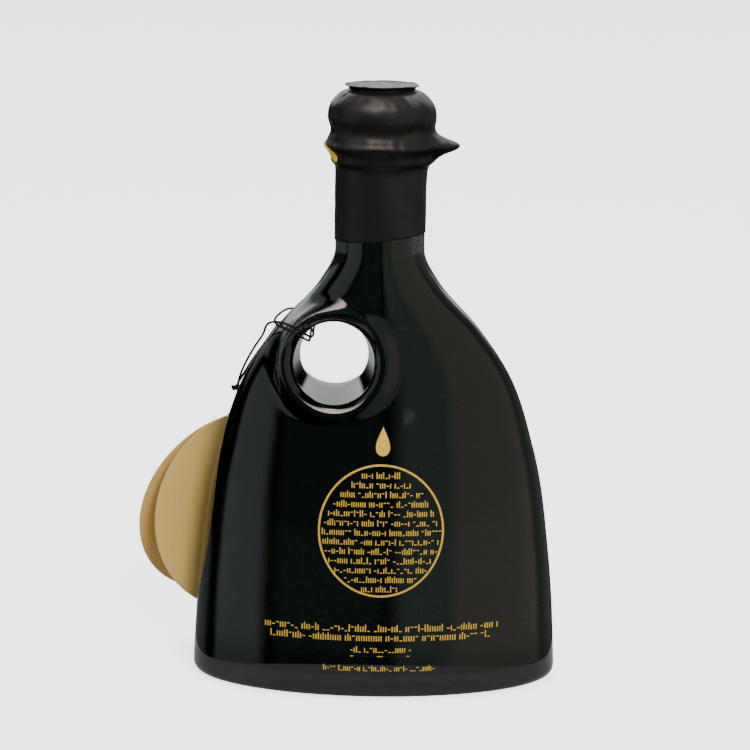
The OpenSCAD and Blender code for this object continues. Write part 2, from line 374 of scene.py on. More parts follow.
@dataclass(frozen=True)
class BraidedElastic:
    """Black elastic with a fine braid."""

    dark: Colour = (0.001, 0.001, 0.001)
    light: Colour = (0.004, 0.004, 0.004)
    pitch: float = 2600.0

    def material(self) -> bpy.types.Material:
        """Builds the elastic.

        Returns:
            The elastic.
        """
        graph = Graph("black_cord")
        settings = {"wave_type": "BANDS", "bands_direction": "DIAGONAL"}
        inputs = {"Vector": graph.place(), "Scale": self.pitch, "Distortion": 1.5}
        braid = graph.node("ShaderNodeTexWave", settings, inputs, "Fac")
        return graph.finish({
            "Base Color": braid.mix(self.dark, self.light),
            "Roughness": 0.85,
            "Specular IOR Level": 0.2,
            "Normal": graph.bump(braid, 0.0001, 0.6),
        })


@dataclass(frozen=True)
class GoldCard:
    """Card with a matte gold face: fine fibres, and a slow change of tone."""

    light: Colour = (0.70, 0.475, 0.15)
    dark: Colour = (0.62, 0.41, 0.12)
    fibre: float = 1500.0

    def material(self) -> bpy.types.Material:
        """Builds the card.

        Returns:
            The card.
        """
        graph = Graph("gold_card")
        fibres = graph.noise(self.fibre, 3.0, (1.0, 1.0, 0.25))
        tone = graph.noise(26.0, 2.0) * 0.7 + fibres * 0.3
        return graph.finish({
            "Base Color": tone.between(0.3, 0.7).mix(self.light, self.dark),
            "Metallic": 0.25,
            "Roughness": fibres * 0.2 + 0.48,
            "Normal": graph.bump(fibres, 0.00006, 0.5),
        })


@dataclass(frozen=True)
class GoldInk:
    """Gold screen print with a slightly uneven film."""

    light: Colour = (0.68, 0.43, 0.04)
    dark: Colour = (0.52, 0.31, 0.025)

    def material(self) -> bpy.types.Material:
        """Builds the ink.

        Returns:
            The ink.
        """
        graph = Graph("gold_print")
        uneven = graph.noise(900.0, 3.0).between(0.35, 0.7)
        return graph.finish({
            "Base Color": uneven.mix(self.light, self.dark),
            "Metallic": 0.35,
            "Roughness": uneven * 0.15 + 0.45,
            "Normal": graph.bump(uneven, 0.00005, 0.5),
        })


@dataclass(frozen=True)
class Floor:
    """A plain pale floor, which gives light of its own so that it stays even."""

    name: str
    tone: float = 0.92
    glow: float = 2.2

    def material(self) -> bpy.types.Material:
        """Builds the floor.

        Returns:
            The floor.
        """
        graph = Graph(self.name)
        mottle = graph.noise(4.0, 2.0) * 0.01 + (self.tone - 0.005)
        grey = graph.node("ShaderNodeCombineColor", inputs={0: mottle, 1: mottle, 2: mottle})
        return graph.finish({
            "Base Color": grey,
            "Roughness": 0.9,
            "Specular IOR Level": 0.0,
            "Emission Color": (1.0, 1.0, 1.0, 1.0),
            "Emission Strength": self.glow,
        })


@dataclass(frozen=True)
class Glow:
    """A studio card's own light, which fades out towards its edges."""

    name: str
    colour: Colour
    strength: float
    fade: float

    def material(self) -> bpy.types.Material:
        """Builds the light.

        Returns:
            The light.
        """
        graph = Graph(self.name)
        where = graph.node("ShaderNodeTexCoord", output="UV")
        across = graph.node("ShaderNodeSeparateXYZ", inputs={0: where}, output="X")
        up = graph.node("ShaderNodeSeparateXYZ", inputs={0: where}, output="Y")
        sides = across.between(0.0, self.fade) * (1.0 - across).between(0.0, self.fade)
        ends = up.between(0.0, 0.12) * (1.0 - up).between(0.0, 0.12)
        clear = graph.node("ShaderNodeBsdfTransparent")
        light = graph.node("ShaderNodeEmission", inputs={0: (*self.colour, 1.0), 1: self.strength})
        return graph.surface(graph.node("ShaderNodeMixShader", inputs={0: sides * ends, 1: clear, 2: light}))


# ---------------------------------------------------------------------------------------------
# Meshes
# ---------------------------------------------------------------------------------------------


def add_mesh(
    name: str,
    points: Array,
    faces: Sequence[Sequence[int]] | Array,
    normals: Array | None = None,
) -> bpy.types.Object:
    """Makes a smooth-shaded mesh object.

    Args:
        name: The piece's name.
        points: Its vertices, in metres.
        faces: The vertex numbers of each face.
        normals: A normal for each vertex, if they are known.

    Returns:
        The object, linked into the scene.
    """
    mesh = bpy.data.meshes.new(name)
    mesh.from_pydata(np.asarray(points, float).tolist(), [], np.asarray(faces).tolist())
    mesh.shade_smooth()
    if normals is not None:
        mesh.normals_split_custom_set_from_vertices(normals.tolist())
    piece = bpy.data.objects.new(name, mesh)
    bpy.context.scene.collection.objects.link(piece)
    return piece


def grid_faces(rows: int, columns: int, wrap: bool, first: int = 0) -> Array:
    """Lists the quads of a grid of vertices that is stored row by row.

    Args:
        rows: The number of rows.
        columns: The number of vertices in a row.
        wrap: Whether each row closes on itself.
        first: The number of the grid's first vertex.

    Returns:
        One row of four vertex numbers for each quad.
    """
    across = np.arange(columns if wrap else columns - 1)
    row, column = np.meshgrid(np.arange(rows - 1), across, indexing="ij")
    after = (column + 1) % columns
    low, high = row * columns, (row + 1) * columns
    quads = np.stack([low + column, low + after, high + after, high + column], -1)
    return quads.reshape(-1, 4) + first


def dress(
    piece: bpy.types.Object,
    material: bpy.types.Material,
    slot: str,
    *nodes: str,
) -> bpy.types.Object:
    """Gives a new piece its material and its place in the frame.

    Args:
        piece: The piece.
        material: What it is made of.
        slot: Not used.
        nodes: The CAD nodes that it stands for.

    Returns:
        The same piece.
    """
    piece.data.materials.clear()
    piece.data.materials.append(material)
    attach(piece, ROOT)
    if nodes:
        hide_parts(*nodes)
    LOG.info("built %s", piece.name)
    return piece


def ripples(count: int, seed: int, longest: float, shortest: float) -> Callable[[Array], Array]:
    """Makes a smooth random function of place, a sum of plane waves.

    Args:
        count: The number of waves.
        seed: What the random numbers start from.
        longest: The longest wave, in metres.
        shortest: The shortest wave, in metres.

    Returns:
        A function from points to values that lie mostly within -1 to 1.
    """
    rng = np.random.default_rng(seed)
    directions = rng.normal(size=(count, 3))
    directions /= np.linalg.norm(directions, axis=1, keepdims=True)
    lengths = np.exp(rng.uniform(math.log(shortest), math.log(longest), count))
    phases = rng.uniform(0, 2 * math.pi, count)

    def value(points: Array) -> Array:
        """Sums the waves at each point."""
        turns = points @ (directions * (2 * math.pi / lengths)[:, None]).T + phases
        return np.sin(turns).sum(-1) / math.sqrt(count / 2) / 1.5

    return value


def round_max(first: Array, second: Array, radius: float) -> Array:
    """Intersects two distance fields, with a round edge.

    Args:
        first: One field.
        second: The other field.
        radius: The radius of the edge.

    Returns:
        The field of what lies in both.
    """
    corner = np.hypot(np.maximum(first + radius, 0), np.maximum(second + radius, 0))
    return np.minimum(np.maximum(first, second), -radius) + corner


def round_min(first: Array, second: Array, radius: float) -> Array:
    """Joins two distance fields, with a hollow fillet between them.

    Args:
        first: One field.
        second: The other field.
        radius: The radius of the fillet.

    Returns:
        The field of what lies in either.
    """
    return -round_max(-first, -second, radius)


@dataclass(frozen=True)
class Skin:
    """Meshes the surface where a field of distances is zero, as a net of quads."""

    field: Field
    low: tuple[float, float, float]
    high: tuple[float, float, float]
    step: float
    pulls: int = 4
    least_slope: float = 0.05
    probe: float = 0.02

    def _values(self) -> tuple[Array, Array]:
        """Samples the field on a grid.

        Returns:
            The grid's points and the field's values on them.
        """
        axes = [np.arange(a, b + self.step, self.step) for a, b in zip(self.low, self.high)]
        grid = np.stack(np.meshgrid(*axes, indexing="ij"), -1)
        return grid, self.field(grid.reshape(-1, 3)).reshape(grid.shape[:3])

    def _crossings(self, grid: Array, values: Array) -> tuple[Array, Array]:
        """Finds one vertex for each cell that the surface passes through.

        Args:
            grid: The grid's points.
            values: The field's values.

        Returns:
            Each cell's vertex number, or -1, and the vertices.
        """
        size = tuple(n - 1 for n in values.shape)
        total = np.zeros((*size, 3))
        count = np.zeros(size)
        corners = [(i, j, k) for i in (0, 1) for j in (0, 1) for k in (0, 1)]
        for near in corners:
            for axis in range(3):
                if near[axis]:
                    continue
                far = tuple(c + (a == axis) for a, c in enumerate(near))
                here, there = (
                    tuple(slice(c, c + n) for c, n in zip(corner, size))
                    for corner in (near, far)
                )
                first, second = values[here], values[there]
                crossed = (first < 0) != (second < 0)
                share = np.where(crossed, first / np.where(crossed, first - second, 1), 0)
                place = grid[here] + share[..., None] * (grid[there] - grid[here])
                total += np.where(crossed[..., None], place, 0)
                count += crossed
        number = np.full(size, -1)
        number[count > 0] = np.arange(np.count_nonzero(count))
        return number, total[count > 0] / count[count > 0][:, None]

    @staticmethod
    def _quads(number: Array, values: Array) -> Array:
        """Joins the vertices of the four cells round each grid edge that the surface crosses.

        Args:
            number: Each cell's vertex number.
            values: The field's values.

        Returns:
            The quads, facing outwards.
        """
        found = []
        for axis in range(3):
            order = (axis, (axis + 1) % 3, (axis + 2) % 3)
            turned = np.moveaxis(number, order, (0, 1, 2))
            inside = np.moveaxis(values, order, (0, 1, 2)) < 0
            first, second = inside[:-1, 1:-1, 1:-1], inside[1:, 1:-1, 1:-1]
            ring = np.stack([
                turned[:, :-1, :-1], turned[:, 1:, :-1], turned[:, 1:, 1:], turned[:, :-1, 1:],
            ], -1)
            found.append(ring[first & ~second])
            found.append(ring[~first & second][:, ::-1])
        return np.concatenate(found)

    def _slopes(self, points: Array) -> Array:
        """Works out the field's gradient.

        Args:
            points: Where it is wanted.

        Returns:
            The gradient at each point.
        """
        reach = self.step * self.probe
        sides = [self.field(points + reach * way) - self.field(points - reach * way) for way in np.eye(3)]
        return np.stack(sides, -1) / (2 * reach)

    def build(self, name: str) -> bpy.types.Object:
        """Builds the mesh, with its vertices drawn onto the surface and its true normals.

        Args:
            name: The piece's name.

        Returns:
            The object.
        """
        grid, values = self._values()
        number, points = self._crossings(grid, values)
        quads = self._quads(number, values)
        for _ in range(self.pulls):
            slope = self._slopes(points)
            steepness = np.maximum((slope**2).sum(-1, keepdims=True), self.least_slope)
            shift = self.field(points)[:, None] * slope / steepness
            points = points - np.clip(shift, -self.step / 2, self.step / 2)
        slope = self._slopes(points)
        normals = slope / np.maximum(np.linalg.norm(slope, axis=1, keepdims=True), 1e-9)
        return add_mesh(name, points, quads, normals)


# ---------------------------------------------------------------------------------------------
# The bottle
# ---------------------------------------------------------------------------------------------


@dataclass(frozen=True)
class Outline:
    """The body's outline: elliptical sections on smooth curves."""

    heights: tuple[float, ...] = (0.0, 0.045, 0.085, 0.115, 0.130, 0.146, 0.158)
    widths: tuple[float, ...] = (0.1334, 0.1273, 0.1141, 0.0922, 0.0711, 0.043, 0.0321)
    depths: tuple[float, ...] = (0.071, 0.0652, 0.053, 0.0376, 0.0338, 0.0324, 0.0321)
    base_lean: float = 0.045

    def _half(self, sizes: tuple[float, ...], z: Array) -> tuple[Array, Array]:
        """Follows one curve.

        Args:
            sizes: The full size at each section.
            z: The heights that are asked for.

        Returns:
            Half the size at each height, and its slope.
        """
        knots, values = np.array(self.heights), np.array(sizes) / 2
        gaps = np.diff(knots)
        rise = np.diff(values) / gaps
        inner = (rise[:-1] * gaps[1:] + rise[1:] * gaps[:-1]) / (gaps[:-1] + gaps[1:])
        slopes = np.concatenate([[-self.base_lean], inner, [0.0]])
        held = np.clip(z, knots[0], knots[-1])
        i = np.clip(np.searchsorted(knots, held, side="right") - 1, 0, len(gaps) - 1)
        t, gap = (held - knots[i]) / gaps[i], gaps[i]
        value = (
            (2 * t**3 - 3 * t**2 + 1) * values[i]
            + (t**3 - 2 * t**2 + t) * gap * slopes[i]
            + (3 * t**2 - 2 * t**3) * values[i + 1]
            + (t**3 - t**2) * gap * slopes[i + 1]
        )
        slope = (
            (6 * t**2 - 6 * t) * (values[i] - values[i + 1]) / gap
            + (3 * t**2 - 4 * t + 1) * slopes[i]
            + (3 * t**2 - 2 * t) * slopes[i + 1]
        )
        return value, slope

    def side(self, points: Array, inset: float = 0.0) -> Array:
        """Measures how far points lie outside the sides.

        Args:
            points: The points.
            inset: How far the surface stands in from the outline.

        Returns:
            The distance, negative inside.
        """
        x, y, z = points.T
        (a, a_slope), (b, b_slope) = self._half(self.widths, z), self._half(self.depths, z)
        a, b = a - inset, b - inset
        scaled = np.hypot(x / a, y / b) + 1e-9
        steep = np.hypot(x / a**2, y / b**2) + 1e-9
        lean = (a_slope * (x / a) ** 2 + b_slope * (y / b) ** 2) / scaled**2
        return scaled * (scaled - 1) / steep / np.sqrt(1 + lean**2)

    def front(self, x: Array, z: Array) -> Array:
        """Finds the front surface.

        Args:
            x: The distance to the right of the middle.
            z: The height.

        Returns:
            The y of the surface there.
        """
        a, b = self._half(self.widths, z)[0], self._half(self.depths, z)[0]
        return -b * np.sqrt(np.maximum(1 - (x / a) ** 2, 0))


@dataclass(frozen=True)
class FingerHole:
    """The hole through the shoulder, and the soft collar round it."""

    x: float = -0.0159
    z: float = 0.1192
    diameter: float = 0.0246
    draft: float = math.radians(8)
    mouth: float = 0.004
    wall: float = 0.005
    collar_diameter: float = 0.041
    collar_thickness: float = 0.0368
    collar_edge: float = 0.0035
    collar_lean: float = math.radians(10)
    collar_blend: float = 0.005

    def radius(self, points: Array) -> Array:
        """Measures the distance from the hole's axis.

        Args:
            points: The points.

        Returns:
            The distance.
        """
        return np.hypot(points[:, 0] - self.x, points[:, 2] - self.z)

    def bore(self, points: Array) -> Array:
        """Measures how far points lie inside the bore.

        Args:
            points: The points.

        Returns:
            The depth, positive in the bore.
        """
        wall = self.diameter / 2 + np.abs(points[:, 1]) * math.tan(self.draft)
        return (wall - self.radius(points)) * math.cos(self.draft)

    def collar(self, points: Array) -> Array:
        """Measures how far points lie outside the collar, whose faces lean back with the body.

        Args:
            points: The points.

        Returns:
            The distance, negative inside.
        """
        side = np.abs(points[:, 1]) - self.collar_thickness / 2
        up = points[:, 2] - self.z
        out = side * math.cos(self.collar_lean) + up * math.sin(self.collar_lean)
        along = up * math.cos(self.collar_lean) - side * math.sin(self.collar_lean)
        ring = np.hypot(points[:, 0] - self.x, along) - self.collar_diameter / 2
        return round_max(ring, out, self.collar_edge)


@dataclass(frozen=True)
class Bottle:
    """The glass and the oil in it."""

    outline: Outline
    hole: FingerHole
    wall: float = 0.004
    base: float = 0.006
    heel: float = 0.004
    inner_heel: float = 0.009
    rim: float = 0.186
    bore_edge: float = 0.002
    level: float = 0.132
    level_edge: float = 0.0003
    oil_bite: float = 0.00015
    glass_step: float = 0.00125
    oil_step: float = 0.002

    def cavity(self, points: Array) -> Array:
        """Measures how far points lie outside the space in the glass.

        Args:
            points: The points.

        Returns:
            The distance, negative inside.
        """
        sides = self.outline.side(points, self.wall)
        space = round_max(sides, self.base - points[:, 2], self.inner_heel)
        sleeve = self.hole.diameter / 2 + self.hole.wall - self.hole.radius(points)
        return round_max(space, sleeve, self.bore_edge)

    def glass(self, points: Array) -> Array:
        """Measures how far points lie outside the glass.

        Args:
            points: The points.

        Returns:
            The distance, negative inside.
        """
        body = round_max(self.outline.side(points), -points[:, 2], self.heel)
        solid = round_min(body, self.hole.collar(points), self.hole.collar_blend)
        holed = round_max(solid, self.hole.bore(points), self.hole.mouth)
        hollow = np.maximum(holed, -self.cavity(points))
        return np.maximum(hollow, points[:, 2] - self.rim)

    def contents(self, points: Array) -> Array:
        """Measures how far points lie outside the oil, which bites a little into the glass.

        Args:
            points: The points.

        Returns:
            The distance, negative inside.
        """
        bitten = self.cavity(points) - self.oil_bite
        return round_max(bitten, points[:, 2] - self.level, self.level_edge)

    def build(self) -> None:
        """Builds the glass and the oil."""
        margin = 2 * self.glass_step
        half_width = self.outline.widths[0] / 2 + margin
        half_depth = self.outline.depths[0] / 2 + margin
        low = (-half_width, -half_depth, -margin)
        glass = Skin(self.glass, low, (half_width, half_depth, self.rim + margin), self.glass_step)
        dress(glass.build("glass_bottle"), DarkGlass().material(), "dark_glass", "bottle")
        oil_top = self.level + 2 * self.oil_step
        oil = Skin(self.contents, low, (half_width, half_depth, oil_top), self.oil_step)
        dress(oil.build("olive_oil"), Oil().material(), "oil", "oil")


# ---------------------------------------------------------------------------------------------
# The closure
# ---------------------------------------------------------------------------------------------


def curve_through(knots: Array, each: int) -> Array:
    """Follows a smooth curve through knots.

    Args:
        knots: The knots, one a row.
        each: The number of points for each stretch.

    Returns:
        The points.
    """
    padded = np.vstack([knots[:1], knots, knots[-1:]])
    points = []
    for p0, p1, p2, p3 in zip(padded, padded[1:], padded[2:], padded[3:]):
        for t in np.arange(each) / each:
            points.append(
                0.5 * (2 * p1 + (p2 - p0) * t + (2 * p0 - 5 * p1 + 4 * p2 - p3) * t**2
                       + (3 * p1 - p0 - 3 * p2 + p3) * t**3)
            )
    return np.array([*points, knots[-1]])


@dataclass(frozen=True)
class Seal:
    """Black film shrunk over the neck and the pouring closure."""

    neck: float = 0.03205
    film: float = 0.00035
    base: float = 0.186
    low_edge: float = 0.1628
    tilt: float = math.radians(5.5)
    skirt_out: float = 0.00175
    flange_out: float = 0.00365
    waist_out: float = 0.0019
    dome_out: float = 0.0030
    crown_in: float = 0.00395
    skirt_rise: float = 0.0048
    flange_rise: float = 0.0093
    waist_rise: float = 0.0147
    dome_rise: float = 0.0192
    crown_rise: float = 0.0288
    collar_in: float = 0.00055
    collar_height: float = 0.0013
    beak_out: float = 0.0079
    beak_height: float = 0.00895
    beak_half_width: float = 0.0034
    beak_half_height: float = 0.0030
    beak_power: float = 3.0
    lip: tuple[tuple[float, float], ...] = ((-0.0002, 0.0012), (0.0001, 0.0))
    seam_turn: float = -149.0
    dents: float = 0.00008
    wrinkles: float = 0.00006
    overlap: float = 0.0003
    groove: float = 0.0003
    puckers: float = 0.00022
    gathers: float = 0.00012
    around: int = 384
    sleeve_rows: int = 46

    @property
    def radius(self) -> float:
        """The film's radius on the neck."""
        return self.neck / 2 + self.film

    @property
    def crown(self) -> float:
        """The radius of the dome's flat top."""
        return self.radius - self.crown_in

    @property
    def top(self) -> float:
        """The height of the recessed collar's top."""
        return self.base + self.crown_rise + self.collar_height

    def profile(self) -> Array:
        """Follows the closure from the glass rim up to the edge of its flat top.

        Returns:
            Radius and height of each point.
        """
        r, base = self.radius, self.base
        skirt, flange = r + self.skirt_out, r + self.flange_out
        waist, dome = r + self.waist_out, r + self.dome_out
        knots = [
            (r, 0.0),
            (r + 0.0003, 0.002),
            (skirt - 0.0003, self.skirt_rise - 0.0012),
            (skirt, self.skirt_rise + 0.001),
            (skirt + 0.0004, self.flange_rise - 0.0022),
            (flange, self.flange_rise),
            ((flange + waist) / 2, (self.flange_rise + self.waist_rise) / 2 - 0.0004),
            (waist, self.waist_rise),
            (dome, self.dome_rise),
            (dome - 0.0009, self.dome_rise + 0.0046),
            (self.crown + 0.0027, self.crown_rise - 0.0012),
            (self.crown, self.crown_rise),
        ]
        return curve_through(np.array(knots), 10) + np.array([0.0, base])

    def _rows(self) -> tuple[Array, Array]:
        """Lays out the film as rows of radii and heights, for each angle round it.

        Returns:
            The radii and the heights, one row for each ring.
        """
        turn = np.radians(np.arange(self.around) * 360 / self.around)
        low = self.low_edge + self.radius * np.cos(turn) * math.tan(self.tilt)
        share = np.linspace(0, 1, self.sleeve_rows, endpoint=False)[:, None]
        sleeve_z = low + share * (self.base - low)
        sleeve_r = np.full_like(sleeve_z, self.radius)
        lip = np.array(self.lip)
        lip_r = self.neck / 2 + lip[:, :1] + 0 * low
        lip_z = lip[:, 1:] + low
        upper = self.profile()
        collar = np.array([
            (self.crown - self.collar_in, self.base + self.crown_rise),
            (self.crown - self.collar_in, self.top),
            (0.0, self.top),
        ])
        above = np.vstack([upper, collar])
        upper_r, upper_z = (np.repeat(column[:, None], self.around, 1) for column in above.T)
        return np.vstack([lip_r, sleeve_r, upper_r]), np.vstack([lip_z, sleeve_z, upper_z])

    def _beak(self, turn: Array, z: Array) -> Array:
        """Works out how far the film stands out over the beak, which points right.

        Args:
            turn: The angle of each point, in radians.
            z: The height of each point.

        Returns:
            The extra radius.
        """
        across = self.radius * np.sin(np.where(np.cos(turn) > 0, turn, math.pi / 2)) / self.beak_half_width
        up = (z - self.base - self.beak_height) / self.beak_half_height
        return self.beak_out / (1 + np.hypot(across, up) ** self.beak_power)

    def _creases(self, points: Array, turn: Array, z: Array) -> Array:
        """Works out the film's creases and its overlap.

        Args:
            points: The places of the points.
            turn: The angle of each point, in radians.
            z: The height of each point.

        Returns:
            The extra radius.
        """
        broad = ripples(14, 5, 0.018, 0.006)(points)
        fine = ripples(22, 9, 0.006, 0.0022)(points * np.array([1.0, 1.0, 0.4]))
        closure = np.clip((z - self.base) / 0.006, 0, 1)
        from_seam = np.degrees(np.angle(np.exp(1j * (turn - math.radians(self.seam_turn)))))
        overlap = np.clip(from_seam / 1.2, 0, 1) * np.clip((70 - from_seam) / 60, 0, 1)
        pucker = np.exp(-((from_seam / 9) ** 2)) * np.sin(z * 2 * math.pi / 0.0055) * closure
        low = np.clip((self.low_edge + 0.012 - z) / 0.01, 0, 1)
        right = np.exp(-(((turn + math.pi * 1.2) % (2 * math.pi) - math.pi) / 0.35) ** 2)
        gather = np.sin(turn * 46 + z * 900) * low * right
        return (
            self.dents * broad * (0.35 + closure)
            + self.wrinkles * fine * (0.6 + closure)
            + self.overlap * overlap
            - self.groove * np.exp(-((from_seam / 1.3) ** 2))
            + self.puckers * pucker
            + self.gathers * gather
        )

    def build(self) -> None:
        """Builds the film."""
        r, z = self._rows()
        turn = np.radians(np.arange(self.around) * 360 / self.around)[None, :] + 0 * r
        r = r + self._beak(turn, z)
        points = np.stack([r * np.cos(turn), r * np.sin(turn), z], -1)
        film = (r > self.radius * 0.99) | (z > self.base + self.dome_rise)
        film &= z < self.base + self.crown_rise - 0.0002
        r = r + self._creases(points.reshape(-1, 3), turn.ravel(), z.ravel()).reshape(r.shape) * film
        points = np.stack([r * np.cos(turn), r * np.sin(turn), z], -1)
        faces = grid_faces(len(r), self.around, wrap=True)
        dress(add_mesh("black_seal", points.reshape(-1, 3), faces), Film().material(), "black_film", "seal")


@dataclass(frozen=True)
class TopDisc:
    """The small disc that tops the closure, with a ragged flared rim."""

    seal: Seal
    lip: float = 0.0015
    thickness: float = 0.0005
    flare: float = 0.0004
    ragged: float = 0.0003
    black_rim: float = 0.0012
    around: int = 180

    def build(self) -> None:
        """Builds the disc."""
        r = self.seal.crown - self.seal.collar_in + self.lip
        flat = r - 2 * self.thickness
        t, flare = self.thickness, self.flare
        profile = np.array([
            (0.0, 0.0), (flat * 0.6, 0.0), (flat, 0.0), (r - t / 2, flare * 0.7), (r, flare),
            (r, flare + t / 2), (r - t / 2, flare + t * 0.6), (flat, t), (flat * 0.6, t * 0.8),
            (flat * 0.3, t * 0.75), (0.0, t * 0.75),
        ])
        turn = np.radians(np.arange(self.around) * 360 / self.around)
        edge = np.stack([np.cos(turn) * r, np.sin(turn) * r, 0 * turn], -1)
        tear = ripples(16, 3, 0.012, 0.003)(edge)
        rim = np.clip((profile[:, 0] - flat * 0.85) / (r - flat * 0.85), 0, 1)[:, None]
        radius = profile[:, :1] - self.ragged * rim * np.abs(tear)
        height = profile[:, 1:] + self.seal.top + 0.5 * self.ragged * rim * tear
        points = np.stack([radius * np.cos(turn), radius * np.sin(turn), height], -1)
        faces = grid_faces(len(profile), self.around, wrap=True)
        piece = add_mesh("pouring_disc", points.reshape(-1, 3), faces)
        pale, deep = (0.10, 0.11, 0.093), (0.04, 0.047, 0.04)
        grey = MouldedPlastic("grey_disc", pale, deep, 0.3, 260.0, shine=0.08, edge=r - self.black_rim)
        dress(piece, grey.material(), "grey_disc", "top_disc")


@dataclass(frozen=True)
class TearTab:
    """The yellow end of the tear strip, stuck to the skirt under the flange at the left."""

    seal: Seal
    start: float = 187.0
    stop: float = 214.0
    high: float = 0.1950
    low: float = 0.1912
    width: float = 0.0039
    thickness: float = 0.0003
    lift: float = 0.0004
    curl: float = 0.0003
    rows: int = 26
    columns: int = 11

    def build(self) -> None:
        """Builds the tab as a curved slab with a pointed lower end."""
        profile = self.seal.profile()
        rows, columns = self.rows, self.columns
        steps = np.linspace(0, 1, rows), np.linspace(-1, 1, columns)
        along, across = np.meshgrid(*steps, indexing="ij")
        turn = np.radians(self.start + along * (self.stop - self.start))
        narrowing = 1 - 0.6 * np.clip((along - 0.8) / 0.2, 0, 1) ** 1.5
        z = self.high + along * (self.low - self.high) + across * self.width / 2 * narrowing
        r = np.interp(z, profile[:, 1], profile[:, 0]) + self.lift + self.curl * along**2
        layers = []
        for extra in (0.0, self.thickness):
            layer = np.stack([(r + extra) * np.cos(turn), (r + extra) * np.sin(turn), z], -1)
            layers.append(layer.reshape(-1, 3))
        count = rows * columns
        inner = grid_faces(rows, columns, wrap=False)
        number = np.arange(count).reshape(rows, columns)
        sides = number[:, 0], number[-1, 1:], number[-2::-1, -1], number[0, -2:0:-1]
        edge = np.concatenate(sides).tolist()
        walls = [(a, b, b + count, a + count) for a, b in zip(edge, edge[1:] + edge[:1])]
        faces = np.vstack([inner[:, ::-1], inner + count, walls])
        piece = add_mesh("yellow_tab", np.vstack(layers), faces)
        piece.data.set_sharp_from_angle(angle=math.radians(50))
        yellow = MouldedPlastic("yellow_tab", (0.80, 0.52, 0.004), (0.64, 0.40, 0.004), 0.5, 700.0)
        dress(piece, yellow.material(), "yellow_tab", "tear_tab")


# ---------------------------------------------------------------------------------------------
# The card and its cord
# ---------------------------------------------------------------------------------------------


@dataclass(frozen=True)
class ElasticCord:
    """The thin elastic: through the card, twice through the hole and back to its knot."""

    diameter: float = 0.00085
    length: float = 0.2722
    knot: float = 0.00135
    knot_points: int = 24
    knot_spread: float = 3.4
    route: tuple[tuple[float, float, float], ...] = (
        (-0.0515, 0.011, 0.1045), (-0.051, 0.0155, 0.098), (-0.049, 0.0215, 0.092),
        (-0.049, 0.0235, 0.088), (-0.0505, 0.026, 0.0865), (-0.0525, 0.028, 0.088),
        (-0.0525, 0.028, 0.092), (-0.0515, 0.02, 0.0995), (-0.051, 0.011, 0.106),
        (-0.049, 0.0095, 0.112), (-0.0455, 0.007, 0.119), (-0.042, 0.003, 0.125),
        (-0.04, -0.002, 0.13), (-0.036, -0.0085, 0.132), (-0.0315, -0.015, 0.132),
        (-0.0275, -0.018, 0.1305), (-0.0245, -0.0165, 0.1285), (-0.0235, -0.01, 0.1275),
        (-0.0235, 0.0, 0.1275), (-0.0235, 0.01, 0.1275), (-0.0245, 0.016, 0.1285),
        (-0.028, 0.018, 0.1315), (-0.033, 0.0125, 0.133), (-0.0365, 0.005, 0.132),
        (-0.0375, -0.001, 0.131), (-0.036, -0.0075, 0.1305), (-0.0324, -0.0158, 0.1308),
        (-0.028, -0.0185, 0.129), (-0.025, -0.0165, 0.127), (-0.0245, -0.01, 0.1265),
        (-0.0245, 0.0, 0.1265), (-0.0245, 0.01, 0.1265), (-0.0255, 0.0165, 0.127),
        (-0.0303, 0.0191, 0.1287), (-0.0358, 0.0143, 0.1277), (-0.041, 0.0095, 0.1215),
        (-0.0465, 0.0095, 0.1135), (-0.0515, 0.0095, 0.105),
    )

    def _tube(self, name: str, points: Array, closed: bool = False) -> bpy.types.Object:
        """Makes a round tube along a smooth curve.

        Args:
            name: The piece's name.
            points: The points that it passes through.
            closed: Whether it closes on itself.

        Returns:
            The object.
        """
        curve = bpy.data.curves.new(name, "CURVE")
        curve.dimensions = "3D"
        curve.bevel_depth = self.diameter / 2
        curve.bevel_resolution = 3
        curve.resolution_u = 6
        spline = curve.splines.new("BEZIER")
        spline.bezier_points.add(len(points) - 1)
        spline.use_cyclic_u = closed
        before = np.roll(points, 1, 0) if closed else np.vstack([points[:1], points[:-1]])
        after = np.roll(points, -1, 0) if closed else np.vstack([points[1:], points[-1:]])
        for knot, place, pull in zip(spline.bezier_points, points, (after - before) / 6):
            knot.co = place
            knot.handle_left = place - pull
            knot.handle_right = place + pull
        piece = bpy.data.objects.new(name, curve)
        bpy.context.scene.collection.objects.link(piece)
        return piece

    def build(self) -> None:
        """Builds the cord and its knot."""
        elastic = BraidedElastic().material()
        points = np.array(self.route)
        cord = dress(self._tube("elastic_cord", points), elastic, "black_cord", "cord")
        heading = points[-1] - points[-2]
        middle = points[-1] + self.knot * heading / np.linalg.norm(heading)
        turn = np.radians(np.arange(self.knot_points) * 360 / self.knot_points)
        wraps = np.stack([
            np.sin(turn) + 2 * np.sin(2 * turn),
            np.cos(turn) - 2 * np.cos(2 * turn),
            -1.6 * np.sin(3 * turn),
        ], -1)
        knot = self._tube("cord_knot", middle + wraps * self.knot / self.knot_spread, closed=True)
        dress(knot, elastic, "black_cord", "knot")


@dataclass(frozen=True)
class HangCard:
    """The folded gold card, which keeps its CAD shape."""

    node: str = "tag"

    def build(self, nodes: Mapping[str, bpy.types.Object]) -> None:
        """Dresses the card.

        Args:
            nodes: The frame's CAD nodes.
        """
        card = nodes[self.node]
        card.data.materials.clear()
        card.data.materials.append(GoldCard().material())
        card.data.polygons.foreach_set("material_index", [0] * len(card.data.polygons))
        LOG.info("dressed %s", card.name)


# ---------------------------------------------------------------------------------------------
# The print
# ---------------------------------------------------------------------------------------------


class Weight(Enum):
    """How heavy a row of print is: the height of its marks, in metres."""

    FINE = 0.0015
    PLAIN = 0.0017
    STRONG = 0.0019


